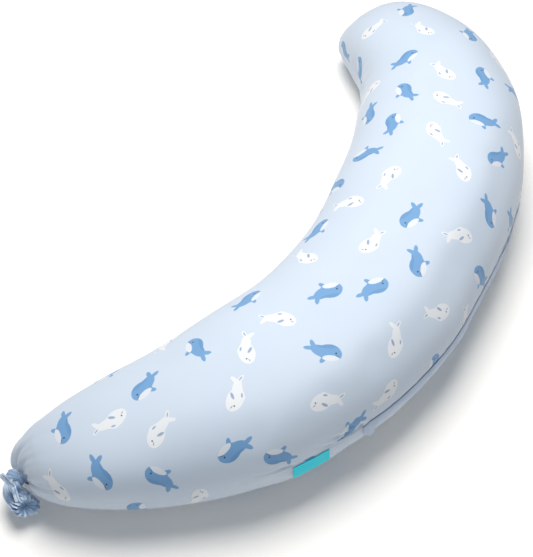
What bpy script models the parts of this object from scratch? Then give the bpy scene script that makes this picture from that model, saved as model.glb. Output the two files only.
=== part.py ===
"""Crescent body pillow, lying on its back on a flat surface.

One filled crescent with a gathered neck at each end, a zip placket along the outer seam,
a folded fabric tab on that seam, and a knotted cloth tie on each neck.
Metres, +Z up. The origin is the middle of the footprint, +X runs along the crescent's chord
and the crescent opens towards +Y.
"""

import math

import bmesh
import bpy
import numpy as np
from mathutils import Vector

# Driving dimensions
LENGTH = 1.63
SECTION_POWER = 2.45
UNDERSIDE_SINK = 0.008
SEAM_DEPTH = 0.004
NECK_RADIUS = 0.0155
NECK_RINGS = 4
FABRIC_GAP = 0.0003

# The pillow's sections. station_deg runs from -90 at the near neck to 90 at the far neck, and the
# distance along the centre line is LENGTH / 2 times its sine, so sections crowd towards the ends.
# heading_deg turns the centre line, and lift raises a section's lowest point off the surface.
SECTIONS = [
    # station_deg, heading_deg, half_width, half_height, lift
    (-90, -10, NECK_RADIUS, NECK_RADIUS, 0.038),
    (-75, -49, 0.060, 0.049, 0.034),
    (-60, -51, 0.102, 0.079, 0.021),
    (-45, -44, 0.136, 0.102, 0.012),
    (-30, -33, 0.165, 0.121, 0.006),
    (-15, -16, 0.176, 0.128, 0.002),
    (0, 0, 0.179, 0.130, 0.000),
    (15, 11, 0.182, 0.133, 0.000),
    (30, 25, 0.174, 0.130, 0.000),
    (45, 49, 0.149, 0.117, 0.003),
    (60, 71, 0.116, 0.098, 0.011),
    (75, 74, 0.070, 0.064, 0.022),
    (90, 42, NECK_RADIUS, NECK_RADIUS, 0.030),
]
ROW_STEP_DEG = 15
STATION_STEP_DEG = 3.75
CENTRE_STEPS = 1200

# Angles round a section: 0 is the outer seam, 90 the top, 180 the inner seam. The rows next to a
# seam are closer together, for its drawn-in groove and for the placket that lies along it.
SEAM_ROWS_DEG = [0.0, 1.8, 5.0]
ANGLE_STEP_DEG = 9

# Gathers that run from each neck out over the blunt end
PLEATS = 12
PLEAT_DEPTH = 0.0026
PLEAT_REACH = 0.13
PLEAT_UNEVENNESS = 0.35

# How fast the boxy middle sections turn into the round sections of the ends
END_ROUNDING_POWER = 12
SEAM_FADE_POWER = 8

# Zip placket on the outer seam, just under it
PLACKET_STATIONS_DEG = (-18.75, 18.75)
PLACKET_ROWS_DEG = (-1.8, -5.0, -9.0)
PLACKET_THICKNESS = 0.0016
PLACKET_CORNER = 0.008

# Folded tab on the outer seam
TAB_STATIONS_DEG = (-28.6, -24.0)
TAB_STEPS = 4
TAB_ROWS_DEG = (-1.2, -3.8, -7.0, -10.2)
TAB_THICKNESS = 0.0013
TAB_STAND_OFF = 0.0035

# Knotted ties. out_deg is a compass direction in the floor plane and droop_deg tips it down.
TIES = [
    # name, station_deg, neck_out, neck_droop, neck_length, tail_out, tail_droop, tail_length,
    # tail_half_width, strip
    ("end_knot_near", -90, 196, 8, 0.0135, 247, 30, 0.058, 0.0305, 0.042),
    ("end_knot_far", 90, 28, 36, 0.016, 24, 34, 0.030, 0.022, 0.0),
]
BAND_RADIUS = 0.0190
BAND_LENGTH = 0.008
BAND_PLEAT_DEPTH = 0.0006
TIE_PLEATS = 9
TAIL_PLEAT_DEPTH = 0.0022
TAIL_TURN_SHARE = 0.45
TIE_RING_POINTS = 36

# The tie's free end, a folded strip. It is set by distances out along the tail's direction and up
# from the band, and it leans across, up and back.
STRIP_HALF_WIDTH = 0.0048
STRIP_HALF_THICK = 0.0026
STRIP_RING_POINTS = 12
STRIP_FOLD_OUT = 0.019
STRIP_FOLD_UP = 0.007
STRIP_FOOT_OUT = 0.014
STRIP_FOOT_DOWN = 0.015
STRIP_LEAN_ACROSS = 0.55
STRIP_LEAN_UP = 0.72
STRIP_LEAN_BACK = 0.42

# The tail's outline: share of its length, and shares of its full half width and half thickness
TAIL_OUTLINE = [
    # along, width, thickness
    (0.00, 0.42, 0.92),
    (0.16, 0.58, 1.00),
    (0.34, 0.80, 0.98),
    (0.54, 0.97, 0.90),
    (0.74, 1.00, 0.78),
    (0.90, 0.80, 0.60),
    (1.00, 0.45, 0.36),
]
TAIL_HALF_THICK = 0.0135

# The band's outline: share of its length and share of its radius
BAND_OUTLINE = [
    # along, radius
    (0.00, 0.86),
    (0.15, 1.00),
    (0.85, 1.00),
    (1.00, 0.86),
]

MATERIALS = {
    # name: colour, roughness
    "cover_cloth": ((0.62, 0.73, 0.86), 0.8),
    "placket_cloth": ((0.60, 0.70, 0.86), 0.8),
    "tab_cloth": ((0.04, 0.52, 0.62), 0.7),
    "tie_cloth": ((0.40, 0.55, 0.74), 0.8),
}


def column(index, station_deg):
    """Value of a column of SECTIONS at any station, on a smooth curve through its rows."""
    place = (station_deg - SECTIONS[0][0]) / ROW_STEP_DEG
    row = min(max(int(place), 0), len(SECTIONS) - 2)
    t = place - row
    here = SECTIONS[row][index]
    there = SECTIONS[row + 1][index]
    before = SECTIONS[row - 1][index] if row > 0 else 2 * here - there
    after = SECTIONS[row + 2][index] if row + 2 < len(SECTIONS) else 2 * there - here
    slope_here = (there - before) / 2
    slope_there = (after - here) / 2
    return (
        here * (2 * t**3 - 3 * t**2 + 1)
        + slope_here * (t**3 - 2 * t**2 + t)
        + there * (3 * t**2 - 2 * t**3)
        + slope_there * (t**3 - t**2)
    )


def centre_line():
    """Centre line in plan: distances from the middle, and the x and y of the points there."""
    stations = np.linspace(-90.0, 90.0, CENTRE_STEPS + 1)
    along = LENGTH / 2 * np.sin(np.radians(stations))
    headings = np.radians([column(1, station) for station in stations])
    middles = (headings[1:] + headings[:-1]) / 2
    steps = np.diff(along)
    x = np.concatenate([[0.0], np.cumsum(np.cos(middles) * steps)])
    y = np.concatenate([[0.0], np.cumsum(np.sin(middles) * steps)])
    half = CENTRE_STEPS // 2
    return along, x - x[half], y - y[half]


ALONG, CENTRE_X, CENTRE_Y = centre_line()


def frame_at(station_deg):
    """Centre in plan, unit tangent and unit vector to the outer side at a station."""
    distance = LENGTH / 2 * math.sin(math.radians(station_deg))
    heading = math.radians(column(1, station_deg))
    centre = Vector((np.interp(distance, ALONG, CENTRE_X), np.interp(distance, ALONG, CENTRE_Y), 0.0))
    tangent = Vector((math.cos(heading), math.sin(heading), 0.0))
    outer = Vector((math.sin(heading), -math.cos(heading), 0.0))
    return centre, tangent, outer


def pleat(station_deg, angle_deg):
    """Height of the gathers, which fade out with the distance from the nearest neck."""
    from_neck = LENGTH / 2 * (1 - abs(math.sin(math.radians(station_deg))))
    radius = column(2, station_deg)
    reach = max(0.0, 1.0 - math.hypot(from_neck, radius - NECK_RADIUS) / PLEAT_REACH)
    uneven = 1.0 + PLEAT_UNEVENNESS * math.sin(math.radians(3 * angle_deg + 40))
    return PLEAT_DEPTH * reach * uneven * math.cos(math.radians(PLEATS * angle_deg))


def skin(station_deg, angle_deg):
    """Point of the cover, without its seam grooves, at a station and an angle."""
    centre, tangent, outer = frame_at(station_deg)
    swell = pleat(station_deg, angle_deg)
    half_width = column(2, station_deg) + swell
    half_height = column(3, station_deg) + swell
    roundness = abs(math.sin(math.radians(station_deg))) ** END_ROUNDING_POWER
    power = roundness + (1.0 - roundness) * 2 / SECTION_POWER
    across = math.cos(math.radians(angle_deg))
    across = math.copysign(abs(across) ** power, across)
    rise = math.sin(math.radians(angle_deg))
    rise = math.copysign(abs(rise) ** power, rise)
    middle = column(3, station_deg) + column(4, station_deg)
    depth = half_height if rise > 0 else half_height + UNDERSIDE_SINK * (1.0 - roundness)
    point = centre + outer * (half_width * across)
    point.z = max(middle + depth * rise, 0.0)
    return point


def normal_at(station_deg, angle_deg):
    """Outward direction of the cover at a station and an angle, from nearby points of it."""
    step = 0.25
    along = skin(station_deg + step, angle_deg) - skin(station_deg - step, angle_deg)
    around = skin(station_deg, angle_deg + step) - skin(station_deg, angle_deg - step)
    return along.cross(around).normalized()


def ring_angles():
    """Angles of the points round a section, closer together beside the two seams."""
    first = SEAM_ROWS_DEG
    middle = [float(angle) for angle in range(ANGLE_STEP_DEG, 181 - ANGLE_STEP_DEG, ANGLE_STEP_DEG)]
    last = [180.0 - angle for angle in reversed(SEAM_ROWS_DEG)]
    upper = first + middle + last
    lower = [360.0 - angle for angle in reversed(upper[1:-1])]
    return upper + lower


def cover_ring(station_deg):
    """Points of the pillow round one section, with both seams drawn in."""
    centre, tangent, outer = frame_at(station_deg)
    fade = 1.0 - abs(math.sin(math.radians(station_deg))) ** SEAM_FADE_POWER
    points = []
    for angle in ring_angles():
        point = skin(station_deg, angle)
        if angle == 0.0:
            point -= outer * (SEAM_DEPTH * fade)
        if angle == 180.0:
            point += outer * (SEAM_DEPTH * fade)
        points.append(point)
    return points


def compass(out_deg, droop_deg):
    """Unit vector from a compass direction in the floor plane and an angle below it."""
    flat = math.cos(math.radians(droop_deg))
    return Vector((
        flat * math.cos(math.radians(out_deg)),
        flat * math.sin(math.radians(out_deg)),
        -math.sin(math.radians(droop_deg)),
    ))


def carried(side, direction):
    """A side vector turned square to a new direction."""
    return (side - direction * side.dot(direction)).normalized()


def neck_rings(station_deg, out_deg, droop_deg, length):
    """Rings of the short neck that bends from the pillow's end to the tie, and its end frame."""
    centre, tangent, side = frame_at(station_deg)
    sign = 1.0 if station_deg < 0 else -1.0
    start = -tangent * sign
    finish = compass(out_deg, droop_deg)
    centre.z = column(3, station_deg) + column(4, station_deg)
    rings = []
    direction = start
    for ring in range(1, NECK_RINGS + 1):
        share = ring / NECK_RINGS
        direction = (start * (1 - share) + finish * share).normalized()
        side = carried(side, direction)
        up = direction.cross(side) * sign
        centre = centre + direction * (length / NECK_RINGS)
        points = []
        for angle in ring_angles():
            radius = NECK_RADIUS + pleat(station_deg, angle)
            turn = math.radians(angle)
            points.append(centre + side * (radius * math.cos(turn)) + up * (radius * math.sin(turn)))
        rings.append(points)
    return rings, centre, direction, side


def material(name):
    """A Principled material from the table."""
    colour, roughness = MATERIALS[name]
    made = bpy.data.materials.new(name)
    made.use_nodes = True
    shader = made.node_tree.nodes["Principled BSDF"]
    shader.inputs["Base Color"].default_value = (*colour, 1.0)
    shader.inputs["Roughness"].default_value = roughness
    shader.inputs["Metallic"].default_value = 0.0
    return made


def lofted(name, rings, cloth):
    """An object of closed rings joined by triangles, with a flat cap at each end."""
    shape = bmesh.new()
    rows = [[shape.verts.new(point) for point in ring] for ring in rings]
    count = len(rings[0])
    for low, high in zip(rows, rows[1:]):
        for i in range(count):
            j = (i + 1) % count
            shape.faces.new((low[i], low[j], high[j]))
            shape.faces.new((low[i], high[j], high[i]))
    shape.faces.new(list(reversed(rows[0])))
    shape.faces.new(rows[-1])
    bmesh.ops.recalc_face_normals(shape, faces=shape.faces)
    mesh = bpy.data.meshes.new(name)
    shape.to_mesh(mesh)
    shape.free()
    mesh.shade_smooth()
    mesh.set_sharp_from_angle(angle=math.radians(50))
    made = bpy.data.objects.new(name, mesh)
    made.data.materials.append(material(cloth))
    bpy.context.scene.collection.objects.link(made)
    return made


def pillow(near_rings, far_rings):
    """The filled crescent: sections from neck to neck and the two bent necks."""
    steps = round(180 / STATION_STEP_DEG)
    body = [cover_ring(-90 + step * STATION_STEP_DEG) for step in range(steps + 1)]
    return lofted("pillow", list(reversed(near_rings)) + body + far_rings, "cover_cloth")


def strip_on_skin(name, stations, rows_deg, thickness, cloth, stand_off):
    """A strip of cloth that lies along the cover, given as stations and rows of angles."""
    rings = []
    last = len(rows_deg) - 1
    for place, station in enumerate(stations):
        inside = []
        outside = []
        for row, angle in enumerate(rows_deg):
            normal = normal_at(station, angle)
            lift = FABRIC_GAP * 1.5 + stand_off(place, row / last)
            inside.append(skin(station, angle) + normal * lift)
            outside.append(skin(station, angle) + normal * (lift + thickness))
        rings.append(outside + list(reversed(inside)))
    return lofted(name, rings, cloth)


def zip_placket():
    """Strip that covers the zip, its lower near corner turned out."""
    first, end = PLACKET_STATIONS_DEG
    steps = round((end - first) / STATION_STEP_DEG)
    stations = [first + step * STATION_STEP_DEG for step in range(steps + 1)]

    def stand_off(place, down):
        return PLACKET_CORNER * down**2 if place == 0 else 0.0

    return strip_on_skin(
        "zip_placket", stations, PLACKET_ROWS_DEG, PLACKET_THICKNESS, "placket_cloth", stand_off
    )


def seam_tab():
    """Bare folded tab, held at the seam and hanging a little off the cover below it."""
    first, end = TAB_STATIONS_DEG
    stations = [first + (end - first) * step / TAB_STEPS for step in range(TAB_STEPS + 1)]

    def stand_off(place, down):
        return TAB_STAND_OFF * down**1.5

    return strip_on_skin("seam_tab", stations, TAB_ROWS_DEG, TAB_THICKNESS, "tab_cloth", stand_off)


def round_ring(centre, side, up, half_width, half_thick, count, pleats=0, depth=0.0):
    """An oval ring of points, pleated where asked."""
    points = []
    for i in range(count):
        turn = 2 * math.pi * i / count
        swell = depth * math.cos(pleats * turn + 0.6 * math.sin(2 * turn))
        across = (half_width + swell) * math.cos(turn)
        rise = (half_thick + swell) * math.sin(turn)
        points.append(centre + side * across + up * rise)
    return points


def united(first, others):
    """Unites the other objects with the first by Booleans."""
    for other in others:
        union = first.modifiers.new("union_" + other.name, "BOOLEAN")
        union.operation = "UNION"
        union.solver = "EXACT"
        union.object = other
        other.hide_render = True
        other.display_type = "WIRE"
    return first


def band(name, centre, direction, side):
    """The turn of cloth wound round the neck."""
    up = direction.cross(side)
    rings = []
    for along, share in BAND_OUTLINE:
        radius = BAND_RADIUS * share
        spot = centre + direction * (along * BAND_LENGTH)
        rings.append(
            round_ring(spot, side, up, radius, radius, TIE_RING_POINTS, TIE_PLEATS, BAND_PLEAT_DEPTH)
        )
    return lofted(name, rings, "tie_cloth")


def tail(name, centre, neck_direction, tie):
    """The pleated end of the cover that hangs from the band and spreads like a fan."""
    tail_out, tail_droop, length, half_width = tie[5:9]
    finish = compass(tail_out, tail_droop)
    spot = centre + neck_direction * (BAND_LENGTH * 0.5)
    rings = []
    before = 0.0
    for along, width, thick in TAIL_OUTLINE:
        turned = min(1.0, along / TAIL_TURN_SHARE)
        direction = (neck_direction * (1 - turned) + finish * turned).normalized()
        spot = spot + direction * (length * (along - before))
        before = along
        side = direction.cross(Vector((0, 0, 1))).normalized()
        up = side.cross(direction)
        depth = TAIL_PLEAT_DEPTH * min(1.0, 0.35 + along)
        wide = half_width * width
        deep = TAIL_HALF_THICK * thick
        rings.append(round_ring(spot, side, up, wide, deep, TIE_RING_POINTS, TIE_PLEATS, depth))
    return lofted(name, rings, "tie_cloth")


def free_strip(name, centre, tie):
    """The tie's free end: a flat folded strip that stands up and back from the band."""
    out = compass(tie[5], 0)
    across = compass(tie[5] - 90, 0)
    length = tie[9]
    up = Vector((0, 0, 1))
    fold = centre + out * STRIP_FOLD_OUT + up * STRIP_FOLD_UP
    lean = (across * STRIP_LEAN_ACROSS + up * STRIP_LEAN_UP - out * STRIP_LEAN_BACK).normalized()
    tip = fold + lean * length
    foot = fold + out * STRIP_FOOT_OUT - up * STRIP_FOOT_DOWN
    rings = []
    stops = [foot, fold, fold.lerp(tip, 0.5), tip]
    for place, stop in enumerate(stops):
        before = stops[max(place - 1, 0)]
        after = stops[min(place + 1, len(stops) - 1)]
        direction = (after - before).normalized()
        side = direction.cross(out).normalized()
        thick_way = side.cross(direction)
        ring = round_ring(stop, side, thick_way, STRIP_HALF_WIDTH, STRIP_HALF_THICK, STRIP_RING_POINTS)
        rings.append(ring)
    return lofted(name, rings, "tie_cloth")


def knot(tie, centre, direction, side):
    """One tie: band, pleated tail and, on the near neck, the free strip, as one solid."""
    name = tie[0]
    start = centre + direction * FABRIC_GAP
    made = band(name, start, direction, side)
    pieces = [tail(name + "_tail", start, direction, tie)]
    if tie[9]:
        pieces.append(free_strip(name + "_strip", start, tie))
    return united(made, pieces)


def centre_on_footprint(objects):
    """Moves every mesh so that the middle of the whole footprint is the origin."""
    bpy.context.view_layer.update()
    graph = bpy.context.evaluated_depsgraph_get()
    corners = []
    for made in objects:
        if not made.hide_render:
            corners += [Vector(corner) for corner in made.evaluated_get(graph).bound_box]
    low = Vector([min(corner[axis] for corner in corners) for axis in range(3)])
    high = Vector([max(corner[axis] for corner in corners) for axis in range(3)])
    shift = Vector((-(low.x + high.x) / 2, -(low.y + high.y) / 2, 0.0))
    for made in objects:
        for vertex in made.data.vertices:
            vertex.co += shift


def main():
    for old in list(bpy.data.objects):
        bpy.data.objects.remove(old, do_unlink=True)
    necks = [neck_rings(*tie[1:5]) for tie in TIES]
    pillow(necks[0][0], necks[1][0])
    zip_placket()
    seam_tab()
    for tie, neck in zip(TIES, necks):
        knot(tie, *neck[1:])
    centre_on_footprint(list(bpy.data.objects))


main()
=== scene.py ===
"""Looks of the crescent body pillow: printed jersey cover, zip placket, seam tab and knotted ties.

The cover is built on the same sections as the solid, inflated once by a cloth simulation, and then
creased where the photo shows gathers and puckers. The print is worked out by shader nodes from a
place and a turn for each motif.
"""

import math

import bmesh
import bpy
import numpy as np
from mathutils import Matrix, Vector


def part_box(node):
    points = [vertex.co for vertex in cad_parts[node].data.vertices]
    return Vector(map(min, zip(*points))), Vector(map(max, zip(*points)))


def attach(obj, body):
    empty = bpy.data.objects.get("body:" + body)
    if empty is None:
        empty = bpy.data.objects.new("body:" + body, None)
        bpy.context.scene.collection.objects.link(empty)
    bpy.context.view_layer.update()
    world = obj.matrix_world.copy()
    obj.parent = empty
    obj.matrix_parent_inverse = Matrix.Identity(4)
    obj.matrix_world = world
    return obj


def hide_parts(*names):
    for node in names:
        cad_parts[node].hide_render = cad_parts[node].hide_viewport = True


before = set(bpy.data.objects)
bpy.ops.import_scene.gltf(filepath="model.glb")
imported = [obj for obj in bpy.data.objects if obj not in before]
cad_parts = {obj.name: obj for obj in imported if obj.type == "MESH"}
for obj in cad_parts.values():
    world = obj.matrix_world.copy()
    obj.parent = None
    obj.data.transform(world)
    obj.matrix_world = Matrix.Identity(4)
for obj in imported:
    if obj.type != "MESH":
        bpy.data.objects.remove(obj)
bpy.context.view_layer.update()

# Sizes of the solids, repeated from their source
LENGTH = 1.63
SECTION_POWER = 2.45
UNDERSIDE_SINK = 0.008
NECK_RADIUS = 0.0155
END_ROUNDING_POWER = 12
ROW_STEP_DEG = 15
CENTRE_STEPS = 1200
SECTIONS = np.array([
    # station_deg, heading_deg, half_width, half_height, lift
    (-90, -10, NECK_RADIUS, NECK_RADIUS, 0.038),
    (-75, -49, 0.060, 0.049, 0.034),
    (-60, -51, 0.102, 0.079, 0.021),
    (-45, -44, 0.136, 0.102, 0.012),
    (-30, -33, 0.165, 0.121, 0.006),
    (-15, -16, 0.176, 0.128, 0.002),
    (0, 0, 0.179, 0.130, 0.000),
    (15, 11, 0.182, 0.133, 0.000),
    (30, 25, 0.174, 0.130, 0.000),
    (45, 49, 0.149, 0.117, 0.003),
    (60, 71, 0.116, 0.098, 0.011),
    (75, 74, 0.070, 0.064, 0.022),
    (90, 42, NECK_RADIUS, NECK_RADIUS, 0.030),
])
TAB_STATIONS_DEG = (-28.6, -24.0)
NECKS = {
    # tie: station_deg, way_deg, droop_deg, length
    "near": (-90, 196, 8, 0.0135),
    "far": (90, 28, 36, 0.016),
}

# The placket's ends, its near one a little further out than its solid's
PLACKET_STATIONS_DEG = (-19.6, 18.75)

# Camera, fitted to the photo's outline: it aims at a floor point seen from station 0's centre
CAMERA_AZIMUTH_DEG = -61.65
CAMERA_ELEVATION_DEG = 52.14
CAMERA_DISTANCE = 2.722
CAMERA_AIM = (-0.0367, 0.2453)
CAMERA_ROLL_DEG = 1.12
CAMERA_LENS_MM = 87.0

# The cover's mesh: every second row and column of it is simulated. Its rows are closer together
# along the placket and the tab, and its columns beside both seams.
STATION_ROWS = 361
RING_COLUMNS = 240
NECK_ROWS = 12
DETAIL_STATIONS_DEG = (-33.0, 24.0)
DETAIL_CROWDING = 1.6
SEAM_SPACING_SHARE = 0.26


def smooth_between(before, here, there, after, t):
    """Value a share t of the way from here to there, on a smooth curve through all four."""
    return (
        here * (2 * t**3 - 3 * t**2 + 1)
        + (there - before) / 2 * (t**3 - 2 * t**2 + t)
        + there * (3 * t**2 - 2 * t**3)
        + (after - here) / 2 * (t**3 - t**2)
    )


def with_ends(rows):
    """The rows with one more at each end, in line with the last two."""
    return np.concatenate([2 * rows[:1] - rows[1:2], rows, 2 * rows[-1:] - rows[-2:-1]])


def column(index, stations):
    """Values of a column of SECTIONS at an array of stations, on smooth curves through its rows."""
    rows = SECTIONS[:, index]
    place = (np.asarray(stations, float) - SECTIONS[0, 0]) / ROW_STEP_DEG
    row = np.clip(place.astype(int), 0, len(rows) - 2)
    t = place - row
    padded = with_ends(rows)
    return smooth_between(padded[row], padded[row + 1], padded[row + 2], padded[row + 3], t)


def running(steps):
    """Running totals of steps, from 0."""
    return np.insert(np.cumsum(steps, axis=-1), 0, 0.0, axis=-1)


def centre_line():
    """Centre line in plan: distances from the middle, and the x and y of the points there."""
    stations = np.linspace(-90.0, 90.0, CENTRE_STEPS + 1)
    along = LENGTH / 2 * np.sin(np.radians(stations))
    headings = np.radians(column(1, stations))
    middles = (headings[1:] + headings[:-1]) / 2
    steps = np.diff(along)
    x = running(np.cos(middles) * steps)
    y = running(np.sin(middles) * steps)
    half = CENTRE_STEPS // 2
    return along, x - x[half], y - y[half]


ALONG, CENTRE_X, CENTRE_Y = centre_line()


def frames_at(stations):
    """Centres in plan, tangents and unit vectors to the outer side at an array of stations."""
    distance = LENGTH / 2 * np.sin(np.radians(stations))
    heading = np.radians(column(1, stations))
    zero = np.zeros_like(distance)
    centre = np.stack([np.interp(distance, ALONG, CENTRE_X), np.interp(distance, ALONG, CENTRE_Y), zero], -1)
    tangent = np.stack([np.cos(heading), np.sin(heading), zero], -1)
    outer = np.stack([np.sin(heading), -np.cos(heading), zero], -1)
    return centre, tangent, outer


def signed_power(values, power):
    return np.sign(values) * np.abs(values) ** power


def skin(stations, angles):
    """Smooth cover points at arrays of stations and angles; 0 is the outer seam and 90 the top."""
    stations, angles = np.broadcast_arrays(np.asarray(stations, float), np.asarray(angles, float))
    centre, tangent, outer = frames_at(stations)
    roundness = np.abs(np.sin(np.radians(stations))) ** END_ROUNDING_POWER
    power = roundness + (1.0 - roundness) * 2 / SECTION_POWER
    across = signed_power(np.cos(np.radians(angles)), power)
    rise = signed_power(np.sin(np.radians(angles)), power)
    half_width = column(2, stations)
    half_height = column(3, stations)
    depth = np.where(rise > 0, half_height, half_height + UNDERSIDE_SINK * (1.0 - roundness))
    points = centre + outer * (half_width * across)[..., None]
    points[..., 2] = np.maximum(half_height + column(4, stations) + depth * rise, 0.0)
    return points


def lengths(vectors):
    return np.linalg.norm(vectors, axis=-1)


def unit(vectors):
    return vectors / np.maximum(np.linalg.norm(vectors, axis=-1, keepdims=True), 1e-12)


def compass(way_deg, droop_deg):
    """Unit vector from a direction in the floor plane and an angle below it."""
    way = math.radians(way_deg)
    droop = math.radians(droop_deg)
    return np.array([math.cos(droop) * math.cos(way), math.cos(droop) * math.sin(way), -math.sin(droop)])


def neck_frames(which):
    """Centre, side, up and forward vectors of each ring of a bent neck, from the pillow to the tie."""
    station, way_deg, droop_deg, length = NECKS[which]
    centre, tangent, side = (a[0] for a in frames_at(np.array([float(station)])))
    sign = 1.0 if station < 0 else -1.0
    start = -tangent * sign
    finish = compass(way_deg, droop_deg)
    spot = centre.copy()
    spot[2] = float(column(3, station) + column(4, station))
    frames = []
    for row in range(1, NECK_ROWS + 1):
        share = row / NECK_ROWS
        direction = unit(start * (1 - share) + finish * share)
        side = unit(side - direction * side.dot(direction))
        spot = spot + direction * (length / NECK_ROWS)
        frames.append((spot, side, np.cross(direction, side) * sign, direction))
    return frames


def placed():
    """Shift from the centre line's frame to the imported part, from the pillow solid's own box."""
    low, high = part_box("pillow")
    points = skin(np.linspace(-90, 90, 361)[:, None], np.linspace(0, 360, 361)).reshape(-1, 3)
    return np.array([high.x - points[:, 0].max(), low.y - points[:, 1].min(), 0.0])


SHIFT = placed()


def finer(values):
    """Twice as many rows and columns of a closed grid, with smooth in-between values."""
    padded = with_ends(values)
    middle = (-padded[:-3] + 9 * padded[1:-2] + 9 * padded[2:-1] - padded[3:]) / 16
    rows = np.empty((2 * len(values) - 1,) + values.shape[1:])
    rows[0::2] = values
    rows[1::2] = middle
    before, after, last = (np.roll(rows, shift, axis=1) for shift in (1, -1, -2))
    grid = np.empty((rows.shape[0], 2 * rows.shape[1]) + rows.shape[2:])
    grid[:, 0::2] = rows
    grid[:, 1::2] = (-before + 9 * rows + 9 * after - last) / 16
    return grid


def tube_faces(rows, columns):
    """Quads of a grid that closes on itself along its columns, in order of rows, then columns."""
    row, col = np.indices((rows - 1, columns))
    after = (col + 1) % columns
    here = row * columns
    there = here + columns
    corners = (here + col, there + col, there + after, here + after)
    return np.stack([corner.ravel() for corner in corners], -1)


def linked(name, data):
    """A new object with its data, in the scene."""
    made = bpy.data.objects.new(name, data)
    bpy.context.scene.collection.objects.link(made)
    return made


def made_mesh(name, points, faces):
    """A mesh object from arrays of points and of corner lists."""
    mesh = bpy.data.meshes.new(name)
    mesh.from_pydata([tuple(p) for p in points], [], [tuple(int(i) for i in f) for f in faces])
    mesh.update()
    mesh.shade_smooth()
    return linked(name, mesh)


def values_of(items, name, width=1, kind=float):
    """A value of each vertex, corner or face of a mesh, as an array."""
    values = np.zeros(len(items) * width, kind)
    items.foreach_get(name, values)
    return values.reshape(-1, width).squeeze()


def joined(name, grids):
    """One mesh of closed tubes, each a grid of points with a fan of faces over each end."""
    points = []
    faces = []
    start = 0
    for grid in grids:
        rows, columns = grid.shape[:2]
        points += [grid.reshape(-1, 3), grid[:1].mean(1), grid[-1:].mean(1)]
        faces += [tuple(face) for face in tube_faces(rows, columns) + start]
        first = start + rows * columns
        end_row = start + (rows - 1) * columns
        for col in range(columns):
            after = (col + 1) % columns
            faces.append((first, start + col, start + after))
            faces.append((first + 1, end_row + after, end_row + col))
        start = first + 2
    return made_mesh(name, np.concatenate(points), faces)


def turned_outward(made):
    """The object with all its faces pointing out."""
    shape = bmesh.new()
    shape.from_mesh(made.data)
    bmesh.ops.recalc_face_normals(shape, faces=shape.faces)
    shape.to_mesh(made.data)
    shape.free()
    return made


def grid_crosses(grid):
    """Outward vectors at a closed grid's points, as long as twice the area of each."""
    around = np.roll(grid, -1, axis=1) - np.roll(grid, 1, axis=1)
    return np.cross(np.gradient(grid, axis=0), around)


def grid_normals(grid):
    return unit(grid_crosses(grid))


# Cover

# The outer seam doesn't show between this station and the near end
HIDDEN_SEAM_STATION_DEG = -29.0

# The simulated cover starts this far inside and ends at most this far from the solid's surface
START_INSIDE = 0.004
MOST_MOVE = 0.005
SMOOTHING_STEPS = 6
CLOTH_FRAMES = 20
CLOTH_SETTINGS = {
    "quality": 4,
    "mass": 0.2,
    "tension_stiffness": 12,
    "compression_stiffness": 12,
    "shear_stiffness": 6,
    "bending_stiffness": 0.4,
    "use_pressure": True,
    "uniform_pressure_force": 3.0,
    "vertex_group_mass": "held",
    "pin_stiffness": 1.0,
    "shrink_min": -0.012,
}
HELD_BESIDE_SEAM_DEG = 0.5
HELD_END_STATION_DEG = 84
HELD_BELOW = 0.0005

# The drawn-in seams: the outer one is deepest along the placket, up to where that rolls under
SEAM_DEPTH = 0.0011
PLACKET_SEAM_DEPTH = 0.0030
SEAM_HALF_WIDTH = 0.0040
ROLL_STATIONS_DEG = (8.5, 12.5)

# Uneven filling: count, shortest and longest of the waves that add up, and the height of each
SWELLS = (7, 0.13, 0.32)
SWELL_HEIGHT = 0.0020 / 2.6
END_LUMPS = (8, 0.024, 0.060)
END_LUMP_HEIGHT = 0.00055
END_LUMP_REACH = 0.085

# Puckers along the sewing thread: height, and the column of each seam with their reach from it
PUCKER_HEIGHT = 0.00034
PUCKERED_SEAMS = [(0, 0.026), (RING_COLUMNS // 2, 0.030)]

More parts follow.
